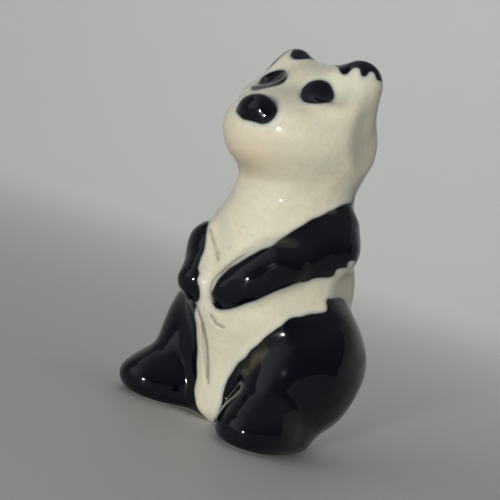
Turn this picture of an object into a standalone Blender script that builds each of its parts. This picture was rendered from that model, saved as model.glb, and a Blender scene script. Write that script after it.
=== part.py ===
"""Seated panda figurine: one solid ceramic casting that stands on its flat underside.

The figure faces -Y, its own left side is +X and +Z is up. Its forms are placed and sized in shares of
its height, and at the height given here one share is about a millimetre. Each form is a ball (an
ellipsoid) or a limb (a bar with round ends). The voxel remesh joins the plain balls and limbs into one
closed mesh, whose points then move on to the soft union of the same forms, which is the casting's skin.
"""

import math

import bmesh
import bpy
import numpy as np
from mathutils import Matrix, Vector

NAME = "panda_figurine"

# The figure's height, from the underside to the tops of the ears, in metres and in shares.
FIGURE_HEIGHT = 0.038
HEIGHT_SHARES = 37.88
SHARE = FIGURE_HEIGHT / HEIGHT_SHARES

# The casting's foot, in shares: how far the underside is cut up into the figure, and how widely its
# rim is rounded.
FOOT_TRIM = 0.35
FOOT_ROUNDING = 1.5

# The facets: the grid that joins the forms, and how many triangles the finished solid keeps.
GRID = 0.5 * SHARE
TRIANGLES = 8800
SHORTEST_EDGE = 0.05 * SHARE

GLAZE_COLOUR = (0.58, 0.55, 0.43, 1.0)
GLAZE_ROUGHNESS = 0.12


def rotation_matrix(tilt, lean):
    """A tilt about X and then a lean about Y, in degrees."""
    return Matrix.Rotation(math.radians(lean), 3, "Y") @ Matrix.Rotation(math.radians(tilt), 3, "X")


class Ball:
    """An ellipsoid, given in shares by its centre and its three radii."""

    def __init__(self, centre, radii, tilt=0.0, lean=0.0):
        self.centre = np.array(centre) * SHARE
        self.radii = np.array(radii) * SHARE
        self.rotation = rotation_matrix(tilt, lean)

    def distance(self, points):
        local = (points - self.centre) @ np.array(self.rotation)
        near = np.linalg.norm(local / self.radii, axis=-1)
        slope = np.linalg.norm(local / self.radii**2, axis=-1) + 1e-9
        return near * (near - 1.0) / slope

    def add_to(self, mesh, side):
        place = Matrix.Diagonal((side, 1.0, 1.0, 1.0)) @ Matrix.Translation(self.centre)
        place = place @ self.rotation.to_4x4() @ Matrix.Diagonal((*self.radii, 1.0))
        bmesh.ops.create_uvsphere(mesh, u_segments=32, v_segments=20, radius=1.0, matrix=place)


class Limb:
    """A bar with round ends, given in shares by its two ends and their radii."""

    def __init__(self, start, end, start_radius, end_radius):
        self.start = np.array(start) * SHARE
        self.end = np.array(end) * SHARE
        self.start_radius = start_radius * SHARE
        self.end_radius = end_radius * SHARE

    def distance(self, points):
        along = self.end - self.start
        share = np.clip((points - self.start) @ along / (along @ along), 0.0, 1.0)
        radius = self.start_radius + (self.end_radius - self.start_radius) * share
        return np.linalg.norm(points - self.start - share[..., None] * along, axis=-1) - radius

    def add_to(self, mesh, side):
        flip = Matrix.Diagonal((side, 1.0, 1.0, 1.0))
        for centre, radius in ((self.start, self.start_radius), (self.end, self.end_radius)):
            place = flip @ Matrix.Translation(centre)
            bmesh.ops.create_uvsphere(mesh, u_segments=24, v_segments=16, radius=radius, matrix=place)
        along = Vector(self.end - self.start)
        turn = along.to_track_quat("Z", "Y").to_matrix().to_4x4()
        bmesh.ops.create_cone(
            mesh,
            cap_ends=True,
            segments=24,
            radius1=self.start_radius,
            radius2=self.end_radius,
            depth=along.length,
            matrix=flip @ Matrix.Translation((self.start + self.end) / 2.0) @ turn,
        )


def soft_union(softness, *distances):
    """The union of some forms, with the creases between them filled over a width of softness shares."""
    width = softness * SHARE
    joined = distances[0]
    for other in distances[1:]:
        overlap = np.maximum(width - np.abs(joined - other), 0.0) / width
        joined = np.minimum(joined, other) - overlap**2 * width / 4.0
    return joined


def soft_overlap(softness, first, second):
    """What two forms share, with its edge rounded over a width of softness shares."""
    return -soft_union(softness, -first, -second)


# The forms of one side, in shares. A form that lies on the middle plane is the same on both sides.
TORSO = [
    Ball((0.0, -0.3, 12.9), (7.6, 7.9, 6.2)),
    Ball((0.0, 1.6, 13.8), (7.8, 6.5, 8.8)),
    Ball((0.0, -0.4, 8.6), (5.9, 4.9, 6.0)),
    Ball((0.0, 2.3, 4.0), (7.4, 6.2, 6.8)),
    Ball((0.0, 2.3, 2.0), (7.9, 5.2, 2.8)),
    Ball((0.0, -0.5, 18.6), (7.0, 6.5, 6.1)),
    Limb((0.0, -0.5, 21.0), (0.0, -1.35, 27.0), 5.9, 5.2),
    Limb((2.3, 0.6, 22.5), (2.4, 0.4, 26.5), 3.2, 2.9),
]
SKULL = [
    Ball((0.0, -1.2, 30.85), (6.5, 4.8, 6.1)),
    Ball((0.0, -1.9, 29.2), (7.45, 5.4, 4.3)),
    Ball((3.4, -3.8, 32.2), (3.5, 1.8, 3.0), tilt=-35.0),
]
MUZZLE = [
    Ball((0.0, -7.05, 28.75), (5.1, 3.45, 2.9)),
    Ball((0.0, -6.8, 26.8), (3.55, 3.3, 2.1)),
]
NOSE = [Ball((0.0, -9.5, 30.1), (2.1, 1.6, 1.6), tilt=-40.0)]
EAR = [
    Ball((4.35, -1.8, 35.5), (2.2, 1.5, 2.25), lean=12.0),
    Limb((4.8, -1.4, 35.1), (5.1, -1.3, 32.4), 1.4, 1.1),
    Limb((3.8, -1.8, 35.8), (1.8, -1.9, 35.4), 1.5, 1.0),
    Limb((4.4, -2.5, 34.5), (4.4, -4.5, 32.0), 1.5, 1.6),
]
LEG = [
    Ball((6.2, 1.75, 8.1), (5.1, 6.2, 7.3)),
    Limb((5.9, -1.6, 6.2), (6.6, -3.0, 3.2), 3.0, 2.7),
    Ball((7.2, -4.0, 1.8), (3.3, 4.1, 2.6)),
    Limb((6.8, -3.0, 1.9), (7.2, -0.2, 2.6), 2.2, 2.5),
    Ball((6.1, -1.4, 1.2), (2.9, 5.2, 2.3)),
]
TAIL = [Ball((0.0, 7.9, 4.6), (2.1, 1.5, 2.1))]

# The arms differ a little: the right paw lies lower than the left one.
LEFT_ARM = [
    Limb((5.0, 0.5, 22.0), (5.6, -0.1, 20.0), 2.35, 2.7),
    Limb((5.6, -0.1, 20.0), (4.4, -4.95, 16.9), 2.7, 2.25),
    Limb((4.4, -4.95, 16.9), (3.1, -6.5, 14.75), 2.25, 2.05),
    Limb((3.1, -6.5, 14.75), (1.8, -7.45, 13.3), 2.05, 1.85),
]
RIGHT_ARM = [
    Limb((-4.7, 0.4, 21.3), (-5.9, -0.2, 19.3), 2.2, 2.7),
    Limb((-5.9, -0.2, 19.3), (-4.5, -4.8, 16.4), 2.7, 2.25),
    Limb((-4.5, -4.8, 16.4), (-2.65, -7.6, 13.1), 2.25, 1.8),
]

# The flat sides behind the mould's seam: which way each faces, and how far out it lies, in shares.
CHEEK_FACING = (0.985, 0.155, 0.07)
CHEEK_OUT = 8.6
FLANK_FACING = (0.97, 0.24, 0.0)
FLANK_OUT = 7.42

# The hollow in front of each ear.
EAR_HOLLOW = Ball((4.6, -5.6, 34.8), (1.7, 1.5, 1.7))

# How widely creases are filled, in shares: those inside each group of forms, and those where the
# group joins what comes before it.
WITHIN = {"torso": 2.0, "skull": 2.2, "muzzle": 1.6, "nose": 1.0, "ear": 1.2, "leg": 2.0, "arm": 1.6, "tail": 1.0}
JOINING = {"muzzle": 3.6, "nose": 0.5, "ear": 1.6, "head": 2.0, "leg": 1.6, "arm": 0.8, "tail": 1.6, "hollow": 1.6}
FACET_EDGE = 0.3


def mirrored(points):
    """The points with those of the right side moved over to the left side."""
    return np.stack([np.abs(points[:, 0]), points[:, 1], points[:, 2]], axis=1)


def form_distance(name, forms, points):
    return soft_union(WITHIN[name], *[form.distance(points) for form in forms])


def facet_distance(facing, out, points):
    return points @ np.array(facing) - out * SHARE


def head_distance(halves):
    skull = form_distance("skull", SKULL, halves)
    head = soft_union(JOINING["muzzle"], skull, form_distance("muzzle", MUZZLE, halves))
    head = soft_union(JOINING["nose"], head, form_distance("nose", NOSE, halves))
    head = soft_overlap(FACET_EDGE, head, facet_distance(CHEEK_FACING, CHEEK_OUT, halves))
    return soft_union(JOINING["ear"], head, form_distance("ear", EAR, halves))


def arm_distance(points):
    left = form_distance("arm", LEFT_ARM, points)
    return np.minimum(left, form_distance("arm", RIGHT_ARM, points))


def skin_distance(points):
    """The distance from each point to the casting's skin, negative inside it."""
    halves = mirrored(points)
    flank = facet_distance(FLANK_FACING, FLANK_OUT, halves)
    torso = soft_overlap(FACET_EDGE, form_distance("torso", TORSO, halves), flank)
    body = soft_union(JOINING["head"], torso, head_distance(halves))
    body = soft_union(JOINING["tail"], body, form_distance("tail", TAIL, halves))
    body = soft_union(JOINING["leg"], body, form_distance("leg", LEG, halves))
    body = soft_union(JOINING["arm"], body, arm_distance(points))
    body = soft_overlap(JOINING["hollow"], body, -EAR_HOLLOW.distance(halves))
    return soft_overlap(FOOT_ROUNDING, body, -(points[:, 2] + FOOT_TRIM * SHARE))


def plain_forms():
    """The balls and limbs as overlapping primitives in one mesh."""
    forms = bmesh.new()
    for group in (TORSO, SKULL, MUZZLE, NOSE, EAR, LEG, TAIL):
        for form in group:
            form.add_to(forms, 1.0)
            form.add_to(forms, -1.0)
    for form in LEFT_ARM + RIGHT_ARM:
        form.add_to(forms, 1.0)
    bmesh.ops.recalc_face_normals(forms, faces=forms.faces)
    mesh = bpy.data.meshes.new(NAME)
    forms.to_mesh(mesh)
    forms.free()
    return mesh


def apply_modifiers(figure):
    """Gives the object the mesh that its modifiers make, and removes them."""
    graph = bpy.context.evaluated_depsgraph_get()
    mesh = bpy.data.meshes.new_from_object(figure.evaluated_get(graph))
    figure.modifiers.clear()
    old = figure.data
    figure.data = mesh
    bpy.data.meshes.remove(old)


def remesh(figure):
    modifier = figure.modifiers.new("joined", "REMESH")
    modifier.mode = "VOXEL"
    modifier.voxel_size = GRID
    apply_modifiers(figure)


def decimate(figure):
    figure.data.calc_loop_triangles()
    modifier = figure.modifiers.new("facets", "DECIMATE")
    modifier.ratio = TRIANGLES / len(figure.data.loop_triangles)
    apply_modifiers(figure)


def move_to_skin(figure, steps=6):
    """Moves the mesh's points along the distance's slope until they lie on the skin."""
    count = len(figure.data.vertices)
    points = np.empty(count * 3)
    figure.data.vertices.foreach_get("co", points)
    points = points.reshape(count, 3)
    reach = 0.02 * SHARE
    for _ in range(steps):
        away = skin_distance(points)
        slope = np.empty_like(points)
        for axis in range(3):
            offset = np.zeros(3)
            offset[axis] = reach
            slope[:, axis] = skin_distance(points + offset) - skin_distance(points - offset)
        slope /= 2.0 * reach
        steep = np.maximum((slope**2).sum(axis=1), 0.25)
        points -= slope * (away / steep)[:, None]
    figure.data.vertices.foreach_set("co", points.ravel())
    figure.data.update()


def cut_underside(figure):
    """Cuts the foot off level at z = 0 and closes it with one flat face."""
    mesh = bmesh.new()
    mesh.from_mesh(figure.data)
    everything = mesh.verts[:] + mesh.edges[:] + mesh.faces[:]
    bmesh.ops.bisect_plane(
        mesh,
        geom=everything,
        dist=1e-7,
        plane_co=(0.0, 0.0, 0.0),
        plane_no=(0.0, 0.0, 1.0),
        clear_inner=True,
    )
    bmesh.ops.remove_doubles(mesh, verts=mesh.verts, dist=SHORTEST_EDGE)
    rim = [edge for edge in mesh.edges if edge.is_boundary]
    bmesh.ops.edgeloop_fill(mesh, edges=rim)
    bmesh.ops.triangulate(mesh, faces=mesh.faces)
    bmesh.ops.recalc_face_normals(mesh, faces=mesh.faces)
    mesh.to_mesh(figure.data)
    mesh.free()


def centre_on_origin(figure):
    """Sets the middle of the figure's box over the origin."""
    corners = np.array([vertex.co for vertex in figure.data.vertices])
    middle = (corners.min(axis=0) + corners.max(axis=0)) / 2.0
    figure.data.transform(Matrix.Translation((-middle[0], -middle[1], 0.0)))


def glaze_material():
    material = bpy.data.materials.new("white_glaze")
    material.use_nodes = True
    shader = material.node_tree.nodes["Principled BSDF"]
    shader.inputs["Base Color"].default_value = GLAZE_COLOUR
    shader.inputs["Roughness"].default_value = GLAZE_ROUGHNESS
    shader.inputs["Metallic"].default_value = 0.0
    material.diffuse_color = GLAZE_COLOUR
    return material


def clear_scene():
    for item in list(bpy.data.objects):
        bpy.data.objects.remove(item, do_unlink=True)


def main():
    clear_scene()
    collection = bpy.data.collections.new("panda")
    bpy.context.scene.collection.children.link(collection)
    figure = bpy.data.objects.new(NAME, plain_forms())
    collection.objects.link(figure)
    for _ in range(2):
        remesh(figure)
        move_to_skin(figure)
    decimate(figure)
    move_to_skin(figure, steps=2)
    cut_underside(figure)
    centre_on_origin(figure)
    figure.data.materials.append(glaze_material())
    figure.data.shade_smooth()
    figure.data.set_sharp_from_angle(angle=math.radians(40.0))


main()
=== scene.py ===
"""The looks of a small glazed ceramic panda that sits on its flat underside.

The casting's skin is modelled again here, as finely as its folds and seam need, from the same balls
and limbs as the plain solid. Lengths in the figure's own frame are in shares of its height, and one
share is about a millimetre. The figure faces -Y, its own left is +X and +Z is up.
"""

import math

import bmesh
import bpy
import numpy as np
from mathutils import Matrix, Vector


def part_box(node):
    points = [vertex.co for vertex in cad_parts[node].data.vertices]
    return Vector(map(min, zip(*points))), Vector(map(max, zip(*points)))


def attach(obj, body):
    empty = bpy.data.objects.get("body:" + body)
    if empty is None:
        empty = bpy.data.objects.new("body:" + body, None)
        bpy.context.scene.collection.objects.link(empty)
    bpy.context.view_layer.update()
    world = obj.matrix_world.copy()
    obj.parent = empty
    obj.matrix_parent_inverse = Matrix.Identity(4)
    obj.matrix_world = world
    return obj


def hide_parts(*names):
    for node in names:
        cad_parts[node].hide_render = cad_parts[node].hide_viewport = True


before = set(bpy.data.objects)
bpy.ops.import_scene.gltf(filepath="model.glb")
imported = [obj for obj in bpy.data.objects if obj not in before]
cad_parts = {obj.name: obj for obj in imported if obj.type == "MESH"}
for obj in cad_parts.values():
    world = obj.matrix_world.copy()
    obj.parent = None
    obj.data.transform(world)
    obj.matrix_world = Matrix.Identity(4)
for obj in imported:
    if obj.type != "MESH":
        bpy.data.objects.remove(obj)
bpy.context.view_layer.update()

NODE = "panda_figurine"
HEIGHT_SHARES = 37.88
LOW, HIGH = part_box(NODE)
SHARE = (HIGH.z - LOW.z) / HEIGHT_SHARES

# The casting's foot, in shares: how far the underside is cut up into the figure, and how widely its
# rim is rounded.
FOOT_TRIM = 0.35
FOOT_ROUNDING = 1.5

# The grids that join the forms: a coarse one for their shape, then a fine one for the surface.
COARSE_GRID = 0.45 * SHARE
COARSE_STEPS = 4
FINE_GRID = 0.2 * SHARE
FINE_STEPS = 3


def rotation_matrix(tilt, lean):
    """A tilt about X and then a lean about Y, in degrees."""
    return Matrix.Rotation(math.radians(lean), 3, "Y") @ Matrix.Rotation(math.radians(tilt), 3, "X")


class Ball:
    """An ellipsoid, given in shares by its centre and its three radii."""

    def __init__(self, centre, radii, tilt=0.0, lean=0.0):
        self.centre = np.array(centre) * SHARE
        self.radii = np.array(radii) * SHARE
        self.rotation = rotation_matrix(tilt, lean)

    def distance(self, points):
        local = (points - self.centre) @ np.array(self.rotation)
        near = np.linalg.norm(local / self.radii, axis=-1)
        slope = np.linalg.norm(local / self.radii**2, axis=-1) + 1e-9
        return near * (near - 1.0) / slope

    def add_to(self, mesh, side):
        place = Matrix.Diagonal((side, 1.0, 1.0, 1.0)) @ Matrix.Translation(self.centre)
        place = place @ self.rotation.to_4x4() @ Matrix.Diagonal((*self.radii, 1.0))
        bmesh.ops.create_uvsphere(mesh, u_segments=32, v_segments=20, radius=1.0, matrix=place)


class Limb:
    """A bar with round ends, given in shares by its two ends and their radii."""

    def __init__(self, start, end, start_radius, end_radius):
        self.start = np.array(start) * SHARE
        self.end = np.array(end) * SHARE
        self.start_radius = start_radius * SHARE
        self.end_radius = end_radius * SHARE

    def distance(self, points):
        along = self.end - self.start
        share = np.clip((points - self.start) @ along / (along @ along), 0.0, 1.0)
        radius = self.start_radius + (self.end_radius - self.start_radius) * share
        return np.linalg.norm(points - self.start - share[..., None] * along, axis=-1) - radius

    def add_to(self, mesh, side):
        flip = Matrix.Diagonal((side, 1.0, 1.0, 1.0))
        for centre, radius in ((self.start, self.start_radius), (self.end, self.end_radius)):
            place = flip @ Matrix.Translation(centre)
            bmesh.ops.create_uvsphere(mesh, u_segments=24, v_segments=16, radius=radius, matrix=place)
        along = Vector(self.end - self.start)
        turn = along.to_track_quat("Z", "Y").to_matrix().to_4x4()
        bmesh.ops.create_cone(
            mesh,
            cap_ends=True,
            segments=24,
            radius1=self.start_radius,
            radius2=self.end_radius,
            depth=along.length,
            matrix=flip @ Matrix.Translation((self.start + self.end) / 2.0) @ turn,
        )


def soft_union(softness, *distances):
    """The union of some forms, with the creases between them filled over a width of softness shares."""
    width = softness * SHARE
    joined = distances[0]
    for other in distances[1:]:
        overlap = np.maximum(width - np.abs(joined - other), 0.0) / width
        joined = np.minimum(joined, other) - overlap**2 * width / 4.0
    return joined


def soft_overlap(softness, first, second):
    """What two forms share, with its edge rounded over a width of softness shares."""
    return -soft_union(softness, -first, -second)


# The forms of one side, in shares. A form that lies on the middle plane is the same on both sides.
TORSO = [
    Ball((0.0, -0.3, 12.9), (7.6, 7.9, 6.2)),
    Ball((0.0, 1.6, 13.8), (7.8, 6.5, 8.8)),
    Ball((0.0, -0.4, 8.6), (5.9, 4.9, 6.0)),
    Ball((0.0, 2.3, 4.0), (7.4, 6.2, 6.8)),
    Ball((0.0, 2.3, 2.0), (7.9, 5.2, 2.8)),
    Ball((0.0, -0.5, 18.6), (7.0, 6.5, 6.1)),
    Limb((0.0, -0.5, 21.0), (0.0, -1.35, 27.0), 5.9, 5.2),
    Limb((2.3, 0.6, 22.5), (2.4, 0.4, 26.5), 3.2, 2.9),
]
SKULL = [
    Ball((0.0, -1.2, 30.85), (6.5, 4.8, 6.1)),
    Ball((0.0, -1.9, 29.2), (7.45, 5.4, 4.3)),
    Ball((3.4, -3.8, 32.2), (3.5, 1.8, 3.0), tilt=-35.0),
]
MUZZLE = [
    Ball((0.0, -7.05, 28.75), (5.1, 3.45, 2.9)),
    Ball((0.0, -6.8, 26.8), (3.55, 3.3, 2.1)),
]
NOSE = [Ball((0.0, -9.5, 30.1), (2.1, 1.6, 1.6), tilt=-40.0)]
EAR = [
    Ball((4.35, -1.8, 35.5), (2.2, 1.5, 2.25), lean=12.0),
    Limb((4.8, -1.4, 35.1), (5.1, -1.3, 32.4), 1.4, 1.1),
    Limb((3.8, -1.8, 35.8), (1.8, -1.9, 35.4), 1.5, 1.0),
    Limb((4.4, -2.5, 34.5), (4.4, -4.5, 32.0), 1.5, 1.6),
]
LEG = [
    Ball((6.2, 1.75, 8.1), (5.1, 6.2, 7.3)),
    Limb((5.9, -1.6, 6.2), (6.6, -3.0, 3.2), 3.0, 2.7),
    Ball((7.2, -4.0, 1.8), (3.3, 4.1, 2.6)),
    Limb((6.8, -3.0, 1.9), (7.2, -0.2, 2.6), 2.2, 2.5),
    Ball((6.1, -1.4, 1.2), (2.9, 5.2, 2.3)),
]
TAIL = [Ball((0.0, 7.9, 4.6), (2.1, 1.5, 2.1))]

# The arms differ a little: the right paw lies lower than the left one.
LEFT_ARM = [
    Limb((5.0, 0.5, 22.0), (5.6, -0.1, 20.0), 2.35, 2.7),
    Limb((5.6, -0.1, 20.0), (4.4, -4.95, 16.9), 2.7, 2.25),
    Limb((4.4, -4.95, 16.9), (3.1, -6.5, 14.75), 2.25, 2.05),
    Limb((3.1, -6.5, 14.75), (1.8, -7.45, 13.3), 2.05, 1.85),
]
RIGHT_ARM = [
    Limb((-4.7, 0.4, 21.3), (-5.9, -0.2, 19.3), 2.2, 2.7),
    Limb((-5.9, -0.2, 19.3), (-4.5, -4.8, 16.4), 2.7, 2.25),
    Limb((-4.5, -4.8, 16.4), (-2.65, -7.6, 13.1), 2.25, 1.8),
]

# The flat sides behind the mould's seam: which way each faces, and how far out it lies, in shares.
CHEEK_FACING = (0.985, 0.155, 0.07)
CHEEK_OUT = 8.6
FLANK_FACING = (0.97, 0.24, 0.0)
FLANK_OUT = 7.42

# The hollow in front of each ear.
EAR_HOLLOW = Ball((4.6, -5.6, 34.8), (1.7, 1.5, 1.7))

# How widely creases are filled, in shares: those inside each group of forms, and those where the
# group joins what comes before it.
WITHIN = {
    "torso": 2.0,
    "skull": 2.2,
    "muzzle": 1.6,
    "nose": 1.0,
    "ear": 1.2,
    "leg": 2.0,
    "arm": 1.6,
    "tail": 1.0,
}
JOINING = {
    "muzzle": 3.6,
    "nose": 0.5,
    "ear": 1.6,
    "head": 2.0,
    "leg": 1.6,
    "arm": 0.8,
    "tail": 1.6,
    "hollow": 1.6,
}

# How widely the edges of the flat sides are rounded, in shares.
FACET_EDGE = 0.3

# The side chart: the figure seen from so many degrees round from its front, as (across, up) points.
SIDE_CHART = 42.0

# The folds and ridges of the modelling, drawn on the side chart in shares: half-width and depth of each.
FOLDS = [
    ([(-6.35, 10.8), (-5.26, 9.38), (-4.32, 7.66), (-3.42, 5.43), (-2.9, 3.7)], 0.17, 0.15),
    ([(-5.2, 9.0), (-4.95, 8.2), (-4.33, 6.65), (-3.55, 4.88), (-2.95, 3.7)], 0.15, 0.08),
    ([(-4.6, 10.4), (-3.9, 9.83), (-3.1, 9.7)], 0.2, 0.12),
    ([(-7.3, 18.0), (-6.85, 17.4), (-5.97, 16.2), (-5.6, 15.6)], 0.25, 0.12),
    ([(-6.4, 23.2), (-3.8, 23.4), (-1.1, 23.7), (1.0, 23.5)], 0.55, -0.1),
]
# They lie only on the front of the figure. All but the last, which is a ridge, are painted darker by their
# depth: painted shade in the creases.
FOLDS_FRONT = -1.0
SHADED_FOLDS = FOLDS[:4]

# The mould's seam down each side, as (forward-back, up) points in shares, and its ridge.
SEAM = [(-2.7, 31.5), (-2.6, 25.0), (-2.4, 22.5), (-3.2, 20.5), (-0.8, 18.4), (-0.6, 15.0), (-0.2, 13.0)]
SEAM_HALF_WIDTH = 0.16
SEAM_HEIGHT = 0.02
# How far out from the middle plane the seam begins to show, and over how much more it fades in.
SEAM_INNER = 3.5
SEAM_FADE = 1.5

# The casting's unevenness, as (lump size, height) in shares, and how high above the foot it begins.
UNEVENNESS = [(7.0, 0.06), (2.6, 0.012)]
EVEN_FOOT = 0.2


def mirrored(points):
    """The points with those of the right side moved over to the left side."""
    return np.stack([np.abs(points[:, 0]), points[:, 1], points[:, 2]], axis=1)


def form_distance(name, forms, points):
    return soft_union(WITHIN[name], *[form.distance(points) for form in forms])


def facet_distance(facing, out, points):
    return points @ np.array(facing) - out * SHARE


def head_distance(halves):
    skull = form_distance("skull", SKULL, halves)
    head = soft_union(JOINING["muzzle"], skull, form_distance("muzzle", MUZZLE, halves))
    head = soft_union(JOINING["nose"], head, form_distance("nose", NOSE, halves))
    head = soft_overlap(FACET_EDGE, head, facet_distance(CHEEK_FACING, CHEEK_OUT, halves))
    return soft_union(JOINING["ear"], head, form_distance("ear", EAR, halves))


def arm_distance(points):
    left = form_distance("arm", LEFT_ARM, points)
    return np.minimum(left, form_distance("arm", RIGHT_ARM, points))


def run_distance(run, points):
    """How far each point is from a run of straight pieces. Both are in metres."""
    nearest = np.full(len(points), np.inf)
    for start, end in zip(run[:-1], run[1:]):
        along = end - start
        share = np.clip((points - start) @ along / (along @ along), 0.0, 1.0)
        reach = np.linalg.norm(points - start - share[:, None] * along, axis=1)
        nearest = np.minimum(nearest, reach)
    return nearest


def lumps(points, size, seed):
    """Smooth unevenness between about -1 and 1, whose lumps are size shares across."""
    chance = np.random.default_rng(seed)
    total = np.zeros(len(points))
    waves = 20
    for _ in range(waves):
        direction = chance.normal(size=3)
        direction *= chance.uniform(0.7, 1.4) * 2.0 * math.pi / (size * SHARE * np.linalg.norm(direction))
        total += np.sin(points @ direction + chance.uniform(0.0, 2.0 * math.pi))
    return total / math.sqrt(waves / 2.0)


def shape_distance(points):
    """The distance to the casting's skin without its fine relief, negative inside it."""
    halves = mirrored(points)
    flank = facet_distance(FLANK_FACING, FLANK_OUT, halves)
    torso = soft_overlap(FACET_EDGE, form_distance("torso", TORSO, halves), flank)
    body = soft_union(JOINING["head"], torso, head_distance(halves))
    body = soft_union(JOINING["tail"], body, form_distance("tail", TAIL, halves))
    body = soft_union(JOINING["leg"], body, form_distance("leg", LEG, halves))
    body = soft_union(JOINING["arm"], body, arm_distance(points))
    body = soft_overlap(JOINING["hollow"], body, -EAR_HOLLOW.distance(halves))
    return soft_overlap(FOOT_ROUNDING, body, -(points[:, 2] + FOOT_TRIM * SHARE))


def chart(points, azimuth):
    """Each point's (across, up) place in the view from an azimuth."""
    angle = math.radians(azimuth)
    across = points @ np.array((math.cos(angle), math.sin(angle), 0.0))
    return np.stack([across, points[:, 2]], axis=1)


def fold_depth(points, folds=FOLDS):
    """How deep the folds are cut at each point, in metres."""
    places = chart(points, SIDE_CHART)
    depth = np.zeros(len(points))
    for run, half_width, deepest in folds:
        reach = run_distance(np.array(run) * SHARE, places) / (half_width * SHARE)
        depth += deepest * SHARE * np.exp(-(reach**2))
    front = np.clip(FOLDS_FRONT - points[:, 1] / SHARE, 0.0, 1.0)
    return depth * front


def seam_height(points):
    """How high the mould's seam stands at each point, in metres."""
    reach = run_distance(np.array(SEAM) * SHARE, points[:, 1:]) / (SEAM_HALF_WIDTH * SHARE)
    outer = np.clip((np.abs(points[:, 0]) / SHARE - SEAM_INNER) / SEAM_FADE, 0.0, 1.0)
    return SEAM_HEIGHT * SHARE * outer * np.exp(-(reach**2))


def skin_distance(points):
    """The distance to the finished skin, with its folds, seam and unevenness."""
    distance = shape_distance(points) + fold_depth(points) - seam_height(points)
    above_foot = np.clip(points[:, 2] / SHARE - EVEN_FOOT, 0.0, 1.0)
    for seed, (size, height) in enumerate(UNEVENNESS):
        distance += height * SHARE * above_foot * lumps(points, size, seed)
    return distance


def plain_forms():
    """The balls and limbs as overlapping primitives in one mesh."""
    forms = bmesh.new()
    for group in (TORSO, SKULL, MUZZLE, NOSE, EAR, LEG, TAIL):
        for form in group:
            form.add_to(forms, 1.0)
            form.add_to(forms, -1.0)
    for form in LEFT_ARM + RIGHT_ARM:
        form.add_to(forms, 1.0)
    bmesh.ops.recalc_face_normals(forms, faces=forms.faces)
    mesh = bpy.data.meshes.new("panda")
    forms.to_mesh(mesh)
    forms.free()
    return mesh


def remesh(figure, grid):
    """Joins the object's mesh into one closed skin of even faces."""
    modifier = figure.modifiers.new("joined", "REMESH")
    modifier.mode = "VOXEL"
    modifier.voxel_size = grid
    graph = bpy.context.evaluated_depsgraph_get()
    mesh = bpy.data.meshes.new_from_object(figure.evaluated_get(graph))
    figure.modifiers.clear()
    figure.data = mesh


def points_of(mesh):
    points = np.empty(len(mesh.vertices) * 3)
    mesh.vertices.foreach_get("co", points)
    return points.reshape(-1, 3)


def move_to(mesh, distance, steps):
    """Moves the mesh's points along the distance's slope until they lie where it is zero."""
    points = points_of(mesh)
    reach = 0.02 * SHARE
    least_steep = 0.25
    for _ in range(steps):
        away = distance(points)
        slope = np.empty_like(points)
        for axis in range(3):
            offset = np.zeros(3)
            offset[axis] = reach
            slope[:, axis] = distance(points + offset) - away
        slope /= reach
        steep = np.maximum((slope**2).sum(axis=1), least_steep)
        points -= slope * (away / steep)[:, None]
    mesh.vertices.foreach_set("co", points.ravel())
    mesh.update()


def cut_underside(mesh_data):
    """Cuts the foot off level at z = 0 and closes it with one flat face."""
    mesh = bmesh.new()
    mesh.from_mesh(mesh_data)
    bmesh.ops.bisect_plane(
        mesh,
        geom=mesh.verts[:] + mesh.edges[:] + mesh.faces[:],
        dist=1e-7,
        plane_co=(0.0, 0.0, 0.0),
        plane_no=(0.0, 0.0, 1.0),
        clear_inner=True,
    )
    bmesh.ops.edgeloop_fill(mesh, edges=[edge for edge in mesh.edges if edge.is_boundary])
    bmesh.ops.recalc_face_normals(mesh, faces=mesh.faces)
    mesh.to_mesh(mesh_data)
    mesh.free()


# The brushwork, in shares. The outlines of the arms, the legs and the left ear are drawn on the side
# chart, and those of the right ear, the eyes and the nose from the front. The right arm, leg and ear are
# drawn as if they lay on the left side. RIGHT_ARM_FRONT is what faces the camera of the right arm, drawn
# as the mirror image of the camera's view.
LEFT_ARM_OUTLINE = [
    (6.5, 25.4), (4.2, 24.3), (3.1, 23.35), (2.2, 22.5), (0.55, 20.85), (-1.15, 18.8), (-2.65, 17.4),
    (-3.8, 16.0), (-4.75, 14.7), (-5.2, 13.45), (-5.15, 12.25), (-4.5, 11.3), (-3.6, 11.4), (-2.45, 12.1),
    (-1.0, 13.45), (1.35, 15.35), (3.4, 16.65), (5.2, 17.5), (5.4, 18.2), (6.3, 18.65), (6.9, 19.5),
    (14.0, 19.5), (14.0, 25.4),
]
RIGHT_ARM_OUTLINE = [
    (6.2, 24.9), (5.3, 22.6), (4.2, 20.8), (1.6, 19.0), (-0.8, 17.9), (-2.15, 17.0), (-2.75, 15.9),
    (-3.3, 15.2), (-4.1, 14.5), (-4.65, 13.5), (-4.85, 12.6), (-4.5, 11.6), (-3.5, 11.15), (-2.6, 11.3),
    (-1.0, 12.6), (1.3, 14.7), (3.4, 16.2), (5.2, 17.3), (6.9, 19.3), (14.0, 19.3), (14.0, 25.2),
]
RIGHT_ARM_FRONT = [
    (7.85, 19.2), (7.6, 18.1), (7.3, 16.85), (7.2, 15.85), (7.2, 14.9), (7.15, 14.3), (6.85, 13.8),
    (6.9, 13.2), (6.4, 12.5), (6.15, 11.7), (6.35, 11.0), (6.8, 10.8), (7.6, 11.2), (8.4, 12.0),
    (12.0, 13.5), (12.0, 21.0), (8.5, 21.0),
]
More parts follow.
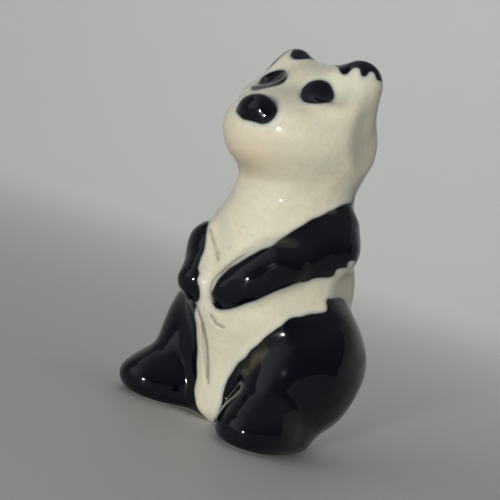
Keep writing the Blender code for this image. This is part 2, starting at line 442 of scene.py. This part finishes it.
LEFT_LEG_OUTLINE = [
    (-1.3, -3.0), (-1.2, 0.0), (-1.1, 1.7), (-1.05, 2.4), (-1.15, 3.3), (-1.25, 4.4), (-1.2, 5.3),
    (-0.93, 6.4), (-0.47, 7.45), (-0.05, 8.6), (0.46, 9.45), (0.95, 10.4), (1.86, 11.7), (2.55, 12.7),
    (3.5, 13.25), (4.9, 13.9), (5.5, 14.35), (5.3, 15.3), (6.4, 15.6), (7.4, 15.5), (8.3, 14.9),
    (14.0, 14.0), (14.0, -3.0),
]
RIGHT_LEG_OUTLINE = [
    (-1.9, -3.0), (-1.75, 0.0), (-1.6, 1.5), (-1.3, 2.8), (-1.35, 4.3), (-1.5, 6.0), (-1.7, 7.4),
    (-2.4, 9.2), (-3.3, 10.2), (-3.5, 11.3), (-1.9, 12.0), (0.9, 12.4), (3.5, 13.3), (5.3, 14.4),
    (7.4, 14.9), (8.3, 14.6), (14.0, 13.8), (14.0, -3.0),
]
LEFT_EAR_OUTLINE = [
    (-0.9, 38.0), (-0.6, 36.85), (0.0, 35.9), (0.6, 35.9), (1.0, 36.65), (1.4, 36.7), (1.8, 36.1),
    (2.3, 36.15), (2.6, 36.8), (3.0, 36.75), (3.4, 36.25), (4.1, 36.3), (6.0, 36.1), (6.0, 40.0),
    (-0.9, 40.0),
]
RIGHT_EAR_OUTLINE = [
    (7.5, 34.0), (6.4, 34.4), (5.7, 35.2), (5.2, 36.2), (4.8, 37.3), (4.4, 37.5), (4.1, 37.0), (3.6, 36.6),
    (2.9, 36.5), (2.2, 36.8), (1.6, 37.6), (2.5, 40.0), (7.5, 40.0),
]
LEFT_EYE_OUTLINE = [
    (1.6, 33.15), (1.2, 34.1), (1.85, 34.72), (2.9, 34.72), (3.76, 33.95), (4.42, 33.0), (4.46, 32.35),
    (3.3, 32.1),
]
RIGHT_EYE_OUTLINE = [
    (-3.3, 31.95), (-5.55, 33.44), (-5.29, 34.54), (-3.91, 35.1), (-1.78, 34.55), (-1.14, 33.48),
    (-1.9, 32.5),
]
NOSE_OUTLINE = [
    (-1.97, 29.6), (-1.5, 30.6), (-0.51, 31.25), (0.61, 31.55), (1.56, 31.3), (2.55, 30.5), (2.7, 29.55),
    (1.97, 28.9), (0.75, 28.75), (-0.42, 28.95),
]
FACE_OUTLINES = [LEFT_EYE_OUTLINE, RIGHT_EYE_OUTLINE, NOSE_OUTLINE]
FACE_FRONT = -3.0

# The band round the back of the shoulders: its edges, where it ends towards the front, and how far its
# edges wander over how long a stretch.
BAND_LOW = 19.5
BAND_HIGH = 25.1
BAND_FRONT = 1.0
BAND_WOBBLE = 0.2
BAND_WOBBLE_SIZE = 5.0
BAND_SEED = 12

# How far every edge of the black wanders, over how long a stretch.
EDGE_WOBBLE = 0.04
EDGE_WOBBLE_SIZE = 2.2
EDGE_SEED = 11

# Where the black glaze runs thin and turns olive, on the side chart: each streak and its half-width.
THIN_STREAKS = [
    ([(0.1, 6.4), (0.7, 8.2), (1.7, 10.1)], 0.45),
    ([(2.2, 22.9), (3.4, 23.5)], 0.3),
]

# On the sides away from the outlines, the black spreads so far beyond the forms of each limb and ear. An
# ear's is its rim alone, down to this height.
LEG_SPREAD = 0.5
ARM_SPREAD = 0.2
EAR_SPREAD = 0.6
EAR_BACK_EDGE = 35.9
EAR_RIM = EAR[:3]

# Where the skin faces an outline's view by less than this, the outline gives way to the forms.
FACING_LIMIT = 0.35
# A distance, in shares, that lies well outside the black.
WELL_OUTSIDE = 9.0

# The stains, in shares: the middle and size of each, and how strong it is.
WARM_STAINS = [
    ((0.5, -9.5, 26.2), (4.5, 3.0, 2.0), 1.0),
    ((-2.0, -8.0, 24.5), (4.0, 3.0, 1.2), 0.6),
]
POOL_CENTRE = (4.9, -3.2, 34.6)
POOL_SIZE = (1.6, 2.5, 1.6)

# How high above the underside the bare body shows, and how softly it ends.
BARE_HEIGHT = 0.06
BARE_FADE = 0.04


def rounded(outline):
    """The closed curve through an outline's points, as more points."""
    points = np.array(outline)
    before = np.roll(points, 1, axis=0)
    after = np.roll(points, -1, axis=0)
    beyond = np.roll(points, -2, axis=0)
    pieces = []
    for share in (0.0, 0.25, 0.5, 0.75):
        bend = (2.0 * before - 5.0 * points + 4.0 * after - beyond) * share**2
        bend += (3.0 * points - before - 3.0 * after + beyond) * share**3
        pieces.append(points + ((after - before) * share + bend) / 2.0)
    return np.stack(pieces, axis=1).reshape(-1, 2)


def outline_distance(outline, places):
    """The distance from each place to the closed curve through an outline, negative inside it."""
    corners = rounded(outline)
    closed = np.vstack([corners, corners[:1]])
    reach = run_distance(closed, places)
    inside = np.zeros(len(places), bool)
    for (x0, y0), (x1, y1) in zip(closed[:-1], closed[1:]):
        crosses = (y0 > places[:, 1]) != (y1 > places[:, 1])
        at = x0 + (places[:, 1] - y0) * (x1 - x0) / (y1 - y0 + 1e-12)
        inside ^= crosses & (places[:, 0] < at)
    return np.where(inside, -reach, reach)


def face_brush(outline, points, normals):
    """The distance to an outline drawn on the face from the front."""
    faced = (points[:, 1] < FACE_FRONT) & (normals[:, 1] < 0.0)
    return np.where(faced, outline_distance(outline, chart(points, 0.0)), WELL_OUTSIDE)


def side_brush(side, azimuth, outline, points, normals, elsewhere):
    """The distance to an outline on one side, or where the skin turns away from it, the one elsewhere."""
    flip = np.array((side, 1.0, 1.0))
    angle = math.radians(azimuth)
    facing = (normals * flip) @ np.array((math.sin(angle), -math.cos(angle), 0.0))
    drawn = outline_distance(outline, chart(points * flip, azimuth))
    blend = np.clip(facing / FACING_LIMIT, 0.0, 1.0)
    blend = blend * blend * (3.0 - 2.0 * blend)
    brush = drawn * blend + elsewhere * (1.0 - blend)
    return np.where(points[:, 0] * side > 0.0, brush, WELL_OUTSIDE)


def black_brush(metres, normals):
    """How far outside the black glaze each point is, in shares, negative inside it."""
    points = metres / SHARE
    halves = mirrored(metres)
    legs = form_distance("leg", LEG, halves) / SHARE - LEG_SPREAD
    band = np.maximum.reduce([points[:, 2] - BAND_HIGH, BAND_LOW - points[:, 2], BAND_FRONT - points[:, 1]])
    band += BAND_WOBBLE * lumps(metres, BAND_WOBBLE_SIZE, BAND_SEED)
    left_arm = np.minimum(form_distance("arm", LEFT_ARM, metres) / SHARE - ARM_SPREAD, band)
    right_arm = np.minimum(form_distance("arm", RIGHT_ARM, metres) / SHARE - ARM_SPREAD, band)
    right_side = side_brush(-1.0, SIDE_CHART, RIGHT_ARM_OUTLINE, points, normals, right_arm)
    ears = form_distance("ear", EAR_RIM, halves) / SHARE - EAR_SPREAD
    ears = np.maximum(ears, EAR_BACK_EDGE - points[:, 2])
    parts = [
        band,
        side_brush(1.0, SIDE_CHART, LEFT_ARM_OUTLINE, points, normals, left_arm),
        side_brush(-1.0, -SIDE_CHART, RIGHT_ARM_FRONT, points, normals, right_side),
        side_brush(1.0, SIDE_CHART, LEFT_LEG_OUTLINE, points, normals, legs),
        side_brush(-1.0, SIDE_CHART, RIGHT_LEG_OUTLINE, points, normals, legs),
        side_brush(1.0, SIDE_CHART, LEFT_EAR_OUTLINE, points, normals, ears),
        side_brush(-1.0, 0.0, RIGHT_EAR_OUTLINE, points, normals, ears),
    ]
    parts += [face_brush(outline, points, normals) for outline in FACE_OUTLINES]
    brush = np.minimum.reduce(parts)
    return brush + EDGE_WOBBLE * lumps(metres, EDGE_WOBBLE_SIZE, EDGE_SEED)


def spot(points, centre, size):
    """A soft spot, 1 in its middle, for a stain. Both places are in shares."""
    return np.exp(-(((points - np.array(centre)) / np.array(size)) ** 2).sum(axis=1))


def streak(points, runs):
    """Soft streaks along runs on the side chart, 1 in their middles."""
    places = chart(points, SIDE_CHART)
    total = np.zeros(len(points))
    for run, half_width in runs:
        total += np.exp(-((run_distance(np.array(run), places) / half_width) ** 2))
    return total * (points[:, 1] < FOLDS_FRONT)


def add_layer(mesh, name, values):
    layer = mesh.attributes.new(name, "FLOAT", "POINT")
    layer.data.foreach_set("value", values.astype(np.float32))


def brush_layers(mesh):
    """Stores what the glaze needs to know about each point of the skin, in shares."""
    metres = points_of(mesh)
    normals = np.empty(len(metres) * 3)
    mesh.vertices.foreach_get("normal", normals)
    normals = normals.reshape(-1, 3)
    points = metres / SHARE
    add_layer(mesh, "brush", black_brush(metres, normals))
    # How deep the shaded folds are cut; the glaze paints them darker by it, as painted shade.
    add_layer(mesh, "fold", fold_depth(metres, SHADED_FOLDS) / SHARE)
    add_layer(mesh, "bare", BARE_HEIGHT - points[:, 2])
    warm = np.zeros(len(points))
    for centre, size, strength in WARM_STAINS:
        warm += strength * spot(points, centre, size)
    add_layer(mesh, "warm", np.clip(warm, 0.0, 1.0))
    add_layer(mesh, "thin", np.clip(streak(points, THIN_STREAKS), 0.0, 1.0))
    add_layer(mesh, "pool", spot(points, POOL_CENTRE, POOL_SIZE))


class Nodes:
    """Builds a shader's nodes from short calls."""

    def __init__(self, material):
        material.use_nodes = True
        self.tree = material.node_tree
        self.shader = self.tree.nodes["Principled BSDF"]

    def link(self, value, socket):
        if isinstance(value, bpy.types.NodeSocket):
            self.tree.links.new(value, socket)
        else:
            socket.default_value = value

    def layer(self, name):
        node = self.tree.nodes.new("ShaderNodeAttribute")
        node.attribute_name = name
        return node.outputs["Fac"]

    def math(self, operation, first, second):
        node = self.tree.nodes.new("ShaderNodeMath")
        node.operation = operation
        self.link(first, node.inputs[0])
        self.link(second, node.inputs[1])
        return node.outputs[0]

    def fade(self, value, low, high, at_low=0.0, at_high=1.0):
        """A smooth change from one number to another while value goes from low to high."""
        node = self.tree.nodes.new("ShaderNodeMapRange")
        node.interpolation_type = "SMOOTHSTEP"
        for name, number in (("Value", value), ("From Min", low), ("From Max", high)):
            self.link(number, node.inputs[name])
        self.link(at_low, node.inputs["To Min"])
        self.link(at_high, node.inputs["To Max"])
        return node.outputs["Result"]

    def noise(self, size, detail=2.0, roughness=0.5):
        """Noise between 0 and 1, whose lumps are size shares across."""
        place = self.tree.nodes.new("ShaderNodeTexCoord").outputs["Object"]
        node = self.tree.nodes.new("ShaderNodeTexNoise")
        self.link(place, node.inputs["Vector"])
        node.inputs["Scale"].default_value = 1.0 / (size * SHARE)
        node.inputs["Detail"].default_value = detail
        node.inputs["Roughness"].default_value = roughness
        return node.outputs["Fac"]

    def specks(self, spacing):
        """The distance to the nearest of some scattered points, in spacings."""
        place = self.tree.nodes.new("ShaderNodeTexCoord").outputs["Object"]
        node = self.tree.nodes.new("ShaderNodeTexVoronoi")
        self.link(place, node.inputs["Vector"])
        node.inputs["Scale"].default_value = 1.0 / (spacing * SHARE)
        return node.outputs["Distance"]

    def mix(self, share, first, second):
        node = self.tree.nodes.new("ShaderNodeMix")
        node.data_type = "RGBA"
        self.link(share, node.inputs["Factor"])
        for colour, name in ((first, "A_Color"), (second, "B_Color")):
            socket = next(item for item in node.inputs if item.identifier == name)
            self.link(colour, socket)
        return next(item for item in node.outputs if item.identifier == "Result_Color")


# The glaze's colours.
CREAM = (0.65, 0.605, 0.47, 1.0)
CREAM_COOL = (0.60, 0.58, 0.46, 1.0)
CREAM_DUSTY = (0.50, 0.465, 0.36, 1.0)
HALO = (0.34, 0.38, 0.38, 1.0)
WARM = (0.52, 0.40, 0.28, 1.0)
# Painted shade in the folds: the glaze turns towards this where the folds are cut deepest.
FOLD_SHADE = (0.10, 0.08, 0.07, 1.0)
POOLED = (0.50, 0.54, 0.42, 1.0)
BLACK = (0.0016, 0.0014, 0.0048, 1.0)
OLIVE = (0.055, 0.05, 0.025, 1.0)
PINHOLE = (0.10, 0.09, 0.08, 1.0)
BISQUE = (0.52, 0.49, 0.42, 1.0)

# How wide the glaze's patches are, in shares.
COOL_PATCHES = 3.0
DUSTY_PATCHES = 0.55
PINHOLE_SPACING = 2.6
RAGGED_PATCHES = 0.5
THIN_PATCHES = 1.4
RIPPLES = 1.1

# Each fade: the two values that it runs between, and then its results there where they aren't 0 and 1.
COOL_FADE = (0.35, 0.65)
DUSTY_FADE = (0.42, 0.75, 0.0, 0.45)
FOLD_SHADE_FADE = (0.03, 0.13, 0.0, 0.6)
PINHOLE_FADE = (0.035, 0.06, 1.0, 0.0)
HALO_FADE = (0.0, 0.38, 0.7, 0.0)
INK_FADE = (-0.13, 0.10, 1.0, 0.0)
THIN_FADE = (0.3, 0.65)
WARM_SHARE = 0.55
POOLED_SHARE = 0.45
PINHOLE_SHARE = 0.6
RAGGED_REACH = 0.06

# The roughness of the glaze and of the bare body, and the slight ripples of the gloss.
GLOSSY = 0.07
DULL = 0.7
GLAZE_IOR = 1.45
RIPPLE_STRENGTH = 0.1
RIPPLE_HEIGHT = 0.03


def glaze_material():
    """Clear gloss over a cream body, with brushed black under it and a bare dull underside."""
    material = bpy.data.materials.new("painted_glaze")
    nodes = Nodes(material)
    colour = nodes.mix(nodes.fade(nodes.noise(COOL_PATCHES), *COOL_FADE), CREAM, CREAM_COOL)
    dusty = nodes.fade(nodes.noise(DUSTY_PATCHES, detail=4.0, roughness=0.65), *DUSTY_FADE)
    colour = nodes.mix(dusty, colour, CREAM_DUSTY)
    colour = nodes.mix(nodes.math("MULTIPLY", nodes.layer("warm"), WARM_SHARE), colour, WARM)
    colour = nodes.mix(nodes.math("MULTIPLY", nodes.layer("pool"), POOLED_SHARE), colour, POOLED)
    # Painted shade: the folds are painted darker the deeper they are cut.
    colour = nodes.mix(nodes.fade(nodes.layer("fold"), *FOLD_SHADE_FADE), colour, FOLD_SHADE)
    pinholes = nodes.fade(nodes.specks(PINHOLE_SPACING), *PINHOLE_FADE)
    colour = nodes.mix(nodes.math("MULTIPLY", pinholes, PINHOLE_SHARE), colour, PINHOLE)
    ragged = nodes.math("SUBTRACT", nodes.noise(RAGGED_PATCHES), 0.5)
    brush = nodes.math("ADD", nodes.layer("brush"), nodes.math("MULTIPLY", ragged, RAGGED_REACH))
    colour = nodes.mix(nodes.fade(brush, *HALO_FADE), colour, HALO)
    streaks = nodes.fade(nodes.noise(THIN_PATCHES), *THIN_FADE)
    black = nodes.mix(nodes.math("MULTIPLY", nodes.layer("thin"), streaks), BLACK, OLIVE)
    colour = nodes.mix(nodes.fade(brush, *INK_FADE), colour, black)
    colour = nodes.mix(nodes.fade(nodes.layer("bare"), -BARE_FADE, BARE_FADE), colour, BISQUE)
    nodes.link(colour, nodes.shader.inputs["Base Color"])
    dullness = nodes.fade(nodes.layer("bare"), -BARE_FADE, BARE_FADE, GLOSSY, DULL)
    nodes.link(dullness, nodes.shader.inputs["Roughness"])
    nodes.shader.inputs["IOR"].default_value = GLAZE_IOR
    bump = nodes.tree.nodes.new("ShaderNodeBump")
    bump.inputs["Strength"].default_value = RIPPLE_STRENGTH
    bump.inputs["Distance"].default_value = RIPPLE_HEIGHT * SHARE
    nodes.link(nodes.noise(RIPPLES), bump.inputs["Height"])
    nodes.link(bump.outputs["Normal"], nodes.shader.inputs["Normal"])
    return material


def panda():
    """The casting, as one piece in the place of its plain solid. Returns how far it is moved into place."""
    figure = bpy.data.objects.new("panda", plain_forms())
    bpy.context.scene.collection.objects.link(figure)
    remesh(figure, COARSE_GRID)
    move_to(figure.data, shape_distance, COARSE_STEPS)
    remesh(figure, FINE_GRID)
    move_to(figure.data, skin_distance, FINE_STEPS)
    cut_underside(figure.data)
    brush_layers(figure.data)
    points = points_of(figure.data)
    middle = (points.min(axis=0) + points.max(axis=0)) / 2.0
    shift = Vector(((LOW.x + HIGH.x) / 2.0 - middle[0], (LOW.y + HIGH.y) / 2.0 - middle[1], LOW.z))
    figure.data.transform(Matrix.Translation(shift))
    figure.data.shade_smooth()
    figure.data.materials.append(glaze_material())
    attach(figure, "root")
    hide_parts(NODE)
    return shift


# The camera: its place round the figure, its turn in the picture, its distance and what it aims at.
CAMERA_AZIMUTH = 42.0
CAMERA_ELEVATION = 2.5
CAMERA_ROLL = 18.0
CAMERA_DISTANCE = 111.0 * SHARE
CAMERA_LENS = 80.2
CAMERA_SENSOR = 36.0
AIM_ACROSS = -3.0 * SHARE
AIM_UP = 17.2 * SHARE


def camera_axes():
    """The picture's right, its up, and the way back to the camera."""
    azimuth, elevation = math.radians(CAMERA_AZIMUTH), math.radians(CAMERA_ELEVATION)
    back = Vector((math.sin(azimuth), -math.cos(azimuth), 0.0)) * math.cos(elevation)
    back.z = math.sin(elevation)
    level = Vector((math.cos(azimuth), math.sin(azimuth), 0.0))
    rise = back.cross(level)
    roll = math.radians(CAMERA_ROLL)
    right = level * math.cos(roll) + rise * math.sin(roll)
    up = rise * math.cos(roll) - level * math.sin(roll)
    return right, up, back, level


def camera(shift):
    right, up, back, level = camera_axes()
    aim = level * AIM_ACROSS + Vector((0.0, 0.0, AIM_UP)) + shift
    data = bpy.data.cameras.new("camera")
    data.lens = CAMERA_LENS
    data.sensor_width = CAMERA_SENSOR
    data.clip_start = 0.001
    data.clip_end = 10.0
    item = bpy.data.objects.new("camera", data)
    turn = Matrix((right, up, back)).transposed().to_4x4()
    item.matrix_world = Matrix.Translation(aim + back * CAMERA_DISTANCE) @ turn
    bpy.context.scene.collection.objects.link(item)
    bpy.context.scene.camera = item
    return aim


# The studio, in metres: a wide floor, and a backdrop that curves up behind the figure as the camera
# sees it, so many degrees to each side.
FLOOR_RADIUS = 0.55
SWEEP_RADIUS = 0.35
BACKDROP_HEIGHT = 1.0
BACKDROP_HALF_ARC = 100.0
STUDIO_WHITE = (0.68, 0.675, 0.662, 1.0)
STUDIO_ROUGHNESS = 0.6


def studio_mesh(profile, first_angle, last_angle):
    """The profile, as (out, up) points, carried round the figure from one angle to another."""
    steps = 64
    mesh = bmesh.new()
    rows = []
    for step in range(steps + 1):
        angle = math.radians(first_angle + (last_angle - first_angle) * step / steps)
        out = Vector((math.cos(angle), math.sin(angle), 0.0))
        rows.append([mesh.verts.new(out * reach + Vector((0.0, 0.0, up))) for reach, up in profile])
    for row, following in zip(rows[:-1], rows[1:]):
        for near in range(len(profile) - 1):
            mesh.faces.new((row[near], row[near + 1], following[near + 1], following[near]))
    bmesh.ops.remove_doubles(mesh, verts=mesh.verts, dist=1e-6)
    data = bpy.data.meshes.new("studio")
    mesh.to_mesh(data)
    mesh.free()
    data.shade_smooth()
    return data


def studio():
    floor = [(0.0, 0.0), (FLOOR_RADIUS * 0.5, 0.0), (FLOOR_RADIUS, 0.0)]
    curve = []
    steps = 16
    for step in range(1, steps + 1):
        angle = math.radians(90.0) * step / steps
        reach = FLOOR_RADIUS + SWEEP_RADIUS * math.sin(angle)
        curve.append((reach, SWEEP_RADIUS * (1.0 - math.cos(angle))))
    wall = [(FLOOR_RADIUS + SWEEP_RADIUS, BACKDROP_HEIGHT)]
    apron = [(FLOOR_RADIUS + SWEEP_RADIUS, 0.0)]
    material = bpy.data.materials.new("studio")
    nodes = Nodes(material)
    nodes.shader.inputs["Base Color"].default_value = STUDIO_WHITE
    nodes.shader.inputs["Roughness"].default_value = STUDIO_ROUGHNESS
    behind = 90.0 + CAMERA_AZIMUTH
    first, last = behind - BACKDROP_HALF_ARC, behind + BACKDROP_HALF_ARC
    pieces = [
        ("backdrop", studio_mesh(floor + curve + wall, first, last)),
        ("floor", studio_mesh(floor + apron, last, first + 360.0)),
    ]
    for name, mesh in pieces:
        mesh.materials.append(material)
        item = bpy.data.objects.new(name, mesh)
        item.location.z = LOW.z
        bpy.context.scene.collection.objects.link(item)


def area_light(name, place, aim, size, power, colour=(1.0, 1.0, 1.0)):
    data = bpy.data.lights.new(name, "AREA")
    data.shape = "DISK"
    data.size = size
    data.energy = power
    data.color = colour
    item = bpy.data.objects.new(name, data)
    item.location = place
    item.rotation_mode = "QUATERNION"
    item.rotation_quaternion = (aim - place).to_track_quat("-Z", "Y")
    bpy.context.scene.collection.objects.link(item)


# The room round the studio: how bright it is towards the window side, overhead and elsewhere.
ROOM_DIM = 0.09
ROOM_WINDOW = 0.66
ROOM_ABOVE = 0.12
ROOM_COLOUR = (0.93, 0.96, 1.0, 1.0)
# How squarely a direction has to face the window, or up, for its light to begin and to be full.
WINDOW_FADE = (0.2, 0.95)
ABOVE_FADE = (0.1, 0.9)


def room(level):
    """Soft daylight: pale from the camera's left and from above, dim on the other sides."""
    world = bpy.data.worlds.new("room")
    world.use_nodes = True
    tree = world.node_tree
    towards = tree.nodes.new("ShaderNodeTexCoord").outputs["Generated"]

    def facing(direction, low, high, at_high):
        dot = tree.nodes.new("ShaderNodeVectorMath")
        dot.operation = "DOT_PRODUCT"
        tree.links.new(towards, dot.inputs[0])
        dot.inputs[1].default_value = direction
        fade = tree.nodes.new("ShaderNodeMapRange")
        fade.interpolation_type = "SMOOTHSTEP"
        tree.links.new(dot.outputs["Value"], fade.inputs["Value"])
        for socket, number in (("From Min", low), ("From Max", high), ("To Min", 0.0), ("To Max", at_high)):
            fade.inputs[socket].default_value = number
        return fade.outputs["Result"]

    def add(first, second):
        node = tree.nodes.new("ShaderNodeMath")
        node.operation = "ADD"
        for value, socket in ((first, node.inputs[0]), (second, node.inputs[1])):
            if isinstance(value, float):
                socket.default_value = value
            else:
                tree.links.new(value, socket)
        return node.outputs[0]

    window = facing(-level, *WINDOW_FADE, ROOM_WINDOW)
    above = facing((0.0, 0.0, 1.0), *ABOVE_FADE, ROOM_ABOVE)
    background = tree.nodes["Background"]
    background.inputs["Color"].default_value = ROOM_COLOUR
    tree.links.new(add(add(window, above), ROOM_DIM), background.inputs["Strength"])
    bpy.context.scene.world = world


# The key light stands off from where the camera aims, by these shares of the picture's axes and at this
# distance. Sizes and places are in metres.
KEY_BACK = 0.95
KEY_LEFT = 0.28
KEY_UP = 0.05
KEY_DISTANCE = 0.30
KEY_SIZE = 0.012
KEY_POWER = 0.72
KEY_COLOUR = (1.0, 0.985, 0.95)

# The backdrop's light hangs behind the figure and faces the wall, so that none of it falls on the
# figure's front. Its place and its aim are so far behind the figure and so high up.
BACKDROP_LIGHT_BEHIND = 0.35
BACKDROP_LIGHT_UP = 0.6
BACKDROP_AIM_BEHIND = 1.0
BACKDROP_AIM_UP = 0.2
BACKDROP_LIGHT_SIZE = 0.6
BACKDROP_LIGHT_POWER = 2.0


def lights(aim):
    right, up, back, level = camera_axes()
    key = aim + (back * KEY_BACK - right * KEY_LEFT + up * KEY_UP).normalized() * KEY_DISTANCE
    area_light("key", key, aim, KEY_SIZE, KEY_POWER, KEY_COLOUR)
    away = Vector((-back.x, -back.y, 0.0)).normalized()
    place = away * BACKDROP_LIGHT_BEHIND + Vector((0.0, 0.0, BACKDROP_LIGHT_UP))
    wall = away * BACKDROP_AIM_BEHIND + Vector((0.0, 0.0, BACKDROP_AIM_UP))
    area_light("backdrop_light", place, wall, BACKDROP_LIGHT_SIZE, BACKDROP_LIGHT_POWER)
    room(level)


def main():
    bpy.context.scene.view_settings.view_transform = "Standard"
    shift = panda()
    aim = camera(shift)
    studio()
    lights(aim)


main()
